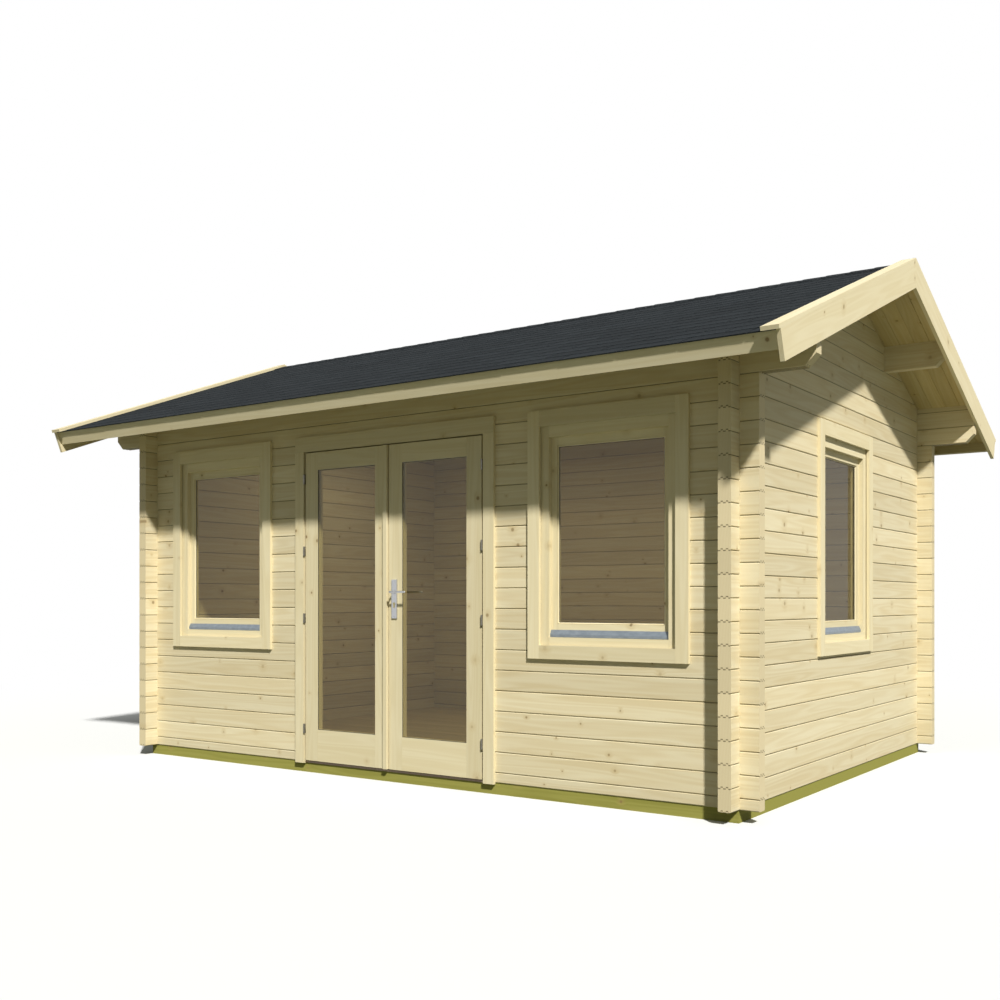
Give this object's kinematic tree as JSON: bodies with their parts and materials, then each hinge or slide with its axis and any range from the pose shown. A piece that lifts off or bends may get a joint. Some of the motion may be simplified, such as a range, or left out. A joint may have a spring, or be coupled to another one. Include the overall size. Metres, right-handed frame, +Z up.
{
  "type": "log cabin",
  "caption": "Small log cabin with crossed corners, glazed double doors, windows in the front and one side, and a low gable roof with wide eaves.",
  "frame": {"origin": "on the ground, under the middle of the house", "axes": "+X along the ridge, to the right as one faces the doors, +Y from the doors to the back wall, +Z up"},
  "size_m": [5.398, 4.3778, 3.1585],
  "materials": {
    "spruce_logs": "planed, untreated",
    "planed_spruce": "planed, untreated",
    "floor_boards": "planed, untreated",
    "roof_boards": "planed, untreated",
    "treated_pine": "sawn, pressure treated",
    "bitumen_shingles": "mineral granules",
    "double_glazing": "clear",
    "satin_steel": "satin",
    "painted_metal": "satin",
    "dark_threshold": "satin"
  },
  "bodies": {
    "cabin": {"bearers": "treated_pine", "floor": "floor_boards", "front_logs_left": "spruce_logs", "front_logs_right": "spruce_logs", "front_log_over_openings": "spruce_logs", "back_logs": "spruce_logs", "left_wall_logs": "spruce_logs", "right_wall_logs": "spruce_logs", "left_gable_logs": "spruce_logs", "right_gable_logs": "spruce_logs", "eave_purlin_logs": "spruce_logs", "roof_purlins": "spruce_logs", "front_roof_boards": "roof_boards", "back_roof_boards": "roof_boards", "front_shingles": "bitumen_shingles", "back_shingles": "bitumen_shingles", "ridge_shingles": "bitumen_shingles", "fascias": "planed_spruce", "left_bargeboards": "planed_spruce", "right_bargeboards": "planed_spruce", "verge_caps": "planed_spruce", "left_window_casing": "planed_spruce", "left_window_frame": "planed_spruce", "left_window_sash": "planed_spruce", "right_window_casing": "planed_spruce", "right_window_frame": "planed_spruce", "right_window_sash": "planed_spruce", "side_window_casing": "planed_spruce", "side_window_frame": "planed_spruce", "side_window_sash": "planed_spruce", "window_glass": "double_glazing", "window_drip_strips": "painted_metal", "door_casing": "planed_spruce", "door_frame": "planed_spruce", "door_threshold": "dark_threshold", "frame_hinges": "satin_steel"},
    "left_leaf": {"left_door_leaf": "planed_spruce", "left_door_glass": "double_glazing", "door_cover_strip": "planed_spruce", "left_door_hinges": "satin_steel"},
    "right_leaf": {"right_door_leaf": "planed_spruce", "right_door_glass": "double_glazing", "handle_plates": "satin_steel", "right_door_hinges": "satin_steel"},
    "lever": {"lever_handles": "satin_steel"}
  },
  "joints": [
    {"name": "left_door_hinge", "type": "hinge", "parent": "cabin", "child": "left_leaf", "pos_m": [-0.712, -1.672, 1.068], "axis": [0, 0, -1], "range_deg": [0, 110]},
    {"name": "right_door_hinge", "type": "hinge", "parent": "cabin", "child": "right_leaf", "pos_m": [0.712, -1.672, 1.068], "axis": [0, 0, 1], "range_deg": [0, 110]},
    {"name": "lever_turn", "type": "hinge", "parent": "right_leaf", "child": "lever", "pos_m": [0.052, -1.642, 1.166], "axis": [0, 1, 0], "range_deg": [0, 40], "stiffness_Nm_per_rad": 0.8, "springref_deg": -28.65}
  ]
}
